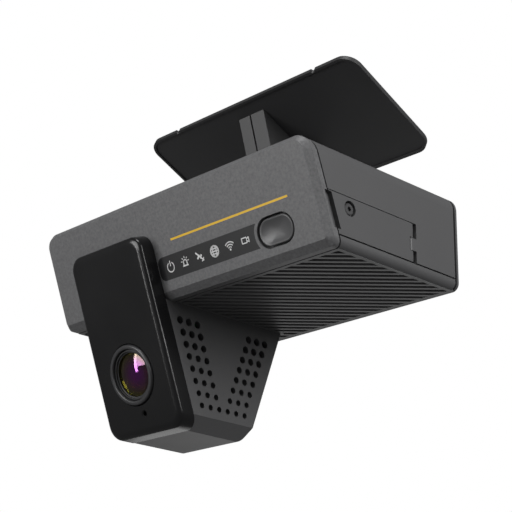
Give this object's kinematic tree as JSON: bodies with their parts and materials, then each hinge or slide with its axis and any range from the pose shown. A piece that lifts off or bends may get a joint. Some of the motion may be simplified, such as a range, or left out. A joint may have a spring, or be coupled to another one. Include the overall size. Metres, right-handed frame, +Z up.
{
  "type": "twin lens dash camera",
  "caption": "Windscreen dash camera with a cabin-facing lens pod, a speaker grille, a louvred base, an event button, a card door and a tilting adhesive bracket.",
  "frame": {"origin": "middle of the adhesive pad's outer face, which presses on the windscreen", "axes": "+X to the right as the driver sees the camera, +Y towards the windscreen and the road, +Z up"},
  "size_m": [0.13, 0.079, 0.119],
  "materials": {
    "housing_plastic": "fine spark-eroded texture, dark grey",
    "face_plastic": "coarser spark-eroded texture, dark grey",
    "bezel_plastic": "smooth black, infrared-clear",
    "button_plastic": "satin",
    "bracket_plastic": "fine texture, black",
    "foam": "closed-cell foam tape",
    "steel": "zinc plated",
    "dark_screw": "black oxide",
    "brass": "turned",
    "washer_nylon": "moulded nylon",
    "lens_metal": "black anodised",
    "lens_glass": "multi-coated",
    "accent": "yellow moulded insert",
    "label_film": "printed film",
    "clear_guide": "clear moulded",
    "rubber": "silicone",
    "board": "solder mask",
    "chip": "moulded epoxy",
    "tinned": "tinned sheet",
    "sink": "extruded",
    "ceramic": "fired ceramic and film",
    "cell_sleeve": "shrink sleeve"
  },
  "bodies": {
    "bracket": {"mount_plate": "bracket_plastic", "adhesive_pad": "foam", "bracket_ear_left": "bracket_plastic", "bracket_ear_right": "bracket_plastic", "bracket_ear_screws": "steel", "pivot_bolt": "steel", "pivot_nut": "steel"},
    "camera": {"accent_strip": "accent", "backup_capacitors": "cell_sleeve", "bezel_panel": "bezel_plastic", "board_screws": "steel", "button_switch": "chip", "cabin_microphone": "chip", "cabin_sensor_board": "board", "card_bay_gasket": "rubber", "card_sockets": "tinned", "cellular_antenna": "ceramic", "cellular_module": "tinned", "door_screw_insert": "brass", "end_panel_left": "housing_plastic", "end_panel_right": "housing_plastic", "friction_washers": "washer_nylon", "front_cover": "face_plastic", "gnss_antenna": "ceramic", "heat_sink": "sink", "indicator_board": "board", "indicator_label": "label_film", "indicator_leds": "chip", "infrared_board": "board", "infrared_lamps": "chip", "lens_barrel": "lens_metal", "lens_glass": "lens_glass", "lens_retainer": "lens_metal", "lens_ring": "lens_metal", "light_guides": "clear_guide", "loudspeaker": "chip", "louvre_base": "housing_plastic", "main_board": "board", "main_shell": "housing_plastic", "memory_card": "chip", "pivot_saddle": "steel", "pod_screws": "steel", "pod_shell": "housing_plastic", "power_inlet": "tinned", "processor": "chip", "rear_cover": "housing_plastic", "rear_cover_screws": "steel", "road_lens_barrel": "lens_metal", "road_lens_glass": "lens_glass", "road_lens_ring": "lens_metal", "road_sensor_board": "board", "saddle_screws": "steel", "sim_card": "chip", "speaker_gasket": "rubber", "thermal_pad": "rubber", "wifi_antenna": "ceramic"},
    "card_door": {"access_door": "housing_plastic", "door_hinge_pin": "steel", "door_screw": "dark_screw"},
    "record_button": {"event_button": "button_plastic"}
  },
  "joints": [
    {"name": "tilt", "type": "hinge", "parent": "bracket", "child": "camera", "pos_m": [0, -0.00043, -0.02634], "axis": [1, 0, 0], "range_deg": [-15, 50]},
    {"name": "door_swing", "type": "hinge", "parent": "camera", "child": "card_door", "pos_m": [0.0641, -0.00843, -0.05904], "axis": [0, 0, 1], "range_deg": [0, 95]},
    {"name": "button_press", "type": "slide", "parent": "camera", "child": "record_button", "axis": [0, 0.9336, 0.3584], "range_m": [0, 0.0008], "stiffness_N_per_m": 500, "springref_m": -0.0006}
  ]
}
